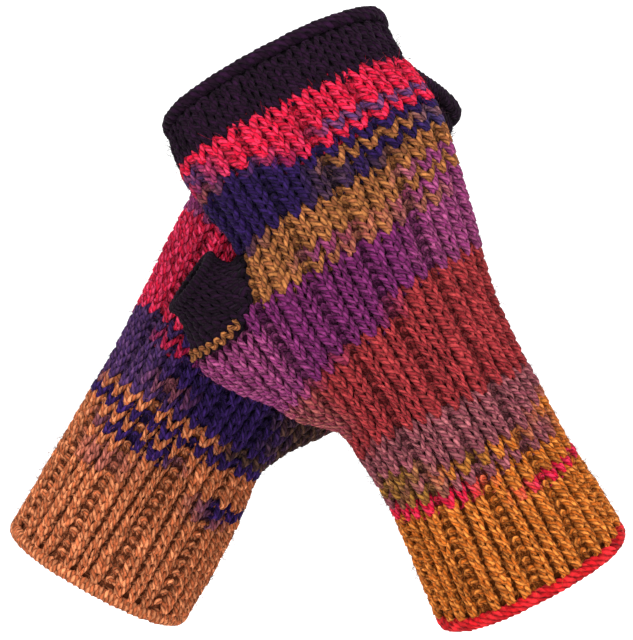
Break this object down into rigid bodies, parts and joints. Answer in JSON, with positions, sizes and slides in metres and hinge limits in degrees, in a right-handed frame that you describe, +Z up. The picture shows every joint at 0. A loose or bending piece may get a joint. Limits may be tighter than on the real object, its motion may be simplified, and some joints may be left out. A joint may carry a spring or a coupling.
{
  "type": "pair of knitted fingerless mitts",
  "caption": "Ribbed wool fingerless mitts in self-striping yarn, worn and crossed, each a hollow tube with open cuff, fingers and short thumb.",
  "frame": {"origin": "where the straight axes of the two worn mitts cross, midway between them, which is where they are held", "axes": "+Z up, +X to the right of someone who faces the mitts, +Y away from them, through both mitts"},
  "size_m": [0.2035, 0.11, 0.204],
  "materials": {
    "aubergine_wool": "knitted two-ply wool, matt, with a soft halo",
    "plum_wool": "knitted two-ply wool, matt, with a soft halo",
    "ochre_wool": "knitted two-ply wool, matt, with a soft halo",
    "red_wool": "knitted two-ply wool, matt, with a soft halo",
    "copper_wool": "knitted two-ply wool, matt, with a soft halo",
    "indigo_wool": "knitted two-ply wool, matt, with a soft halo"
  },
  "bodies": {
    "root": {"front_cuff_edge": "red_wool", "front_cuff": "ochre_wool", "front_hand": "plum_wool", "front_finger_band": "aubergine_wool", "front_finger_edge": "aubergine_wool", "front_thumb": "aubergine_wool", "rear_cuff_edge": "copper_wool", "rear_cuff": "copper_wool", "rear_hand": "indigo_wool", "rear_finger_band": "aubergine_wool", "rear_finger_edge": "aubergine_wool", "rear_thumb": "aubergine_wool"}
  },
  "joints": []
}
